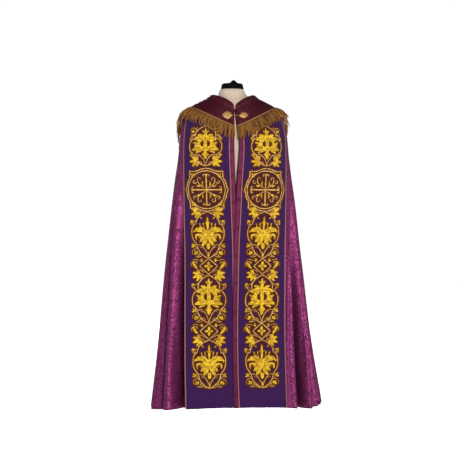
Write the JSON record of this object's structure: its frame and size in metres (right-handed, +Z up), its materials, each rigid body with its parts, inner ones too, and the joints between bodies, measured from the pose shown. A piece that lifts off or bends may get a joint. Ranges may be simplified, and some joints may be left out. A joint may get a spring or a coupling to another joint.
{
  "type": "cope vestment on dress form",
  "caption": "Long open cope with a fringed hood, two embroidered orphreys and a breast clasp, hanging in folds on a limbless dress form with a round foot.",
  "frame": {"origin": "on the floor, at the centre of the underside of the dress form's foot", "axes": "+Z up along the form's pole; -Y is the garment's front, where it opens; +X is the garment's own left"},
  "size_m": [0.8017, 0.5402, 1.5472],
  "materials": {
    "damask": "silky magenta-purple damask",
    "hood_damask": "dark crimson-purple damask",
    "orphrey_violet": "matt violet twill, embroidered",
    "braid": "pinkish-gold woven braid",
    "gold_fringe": "old-gold bullion",
    "gilt_clasp": "gilt, cast",
    "form_cover": "cream linen",
    "form_black": "black lacquer",
    "steel": "satin",
    "foot_white": "white satin paint"
  },
  "bodies": {
    "root": {"cope_front_right": "damask", "cope_back": "damask", "cope_front_left": "damask", "orphrey_right": "orphrey_violet", "orphrey_left": "orphrey_violet", "braid_inner_right": "braid", "braid_outer_right": "braid", "braid_inner_left": "braid", "braid_outer_left": "braid", "hood": "hood_damask", "hood_fringe": "gold_fringe", "clasp_plate_right": "gilt_clasp", "clasp_plate_left": "gilt_clasp", "clasp_hook": "gilt_clasp", "form_torso": "form_cover", "form_cap": "form_black", "form_knob": "form_black", "form_pole": "steel", "form_foot": "foot_white"}
  },
  "joints": []
}
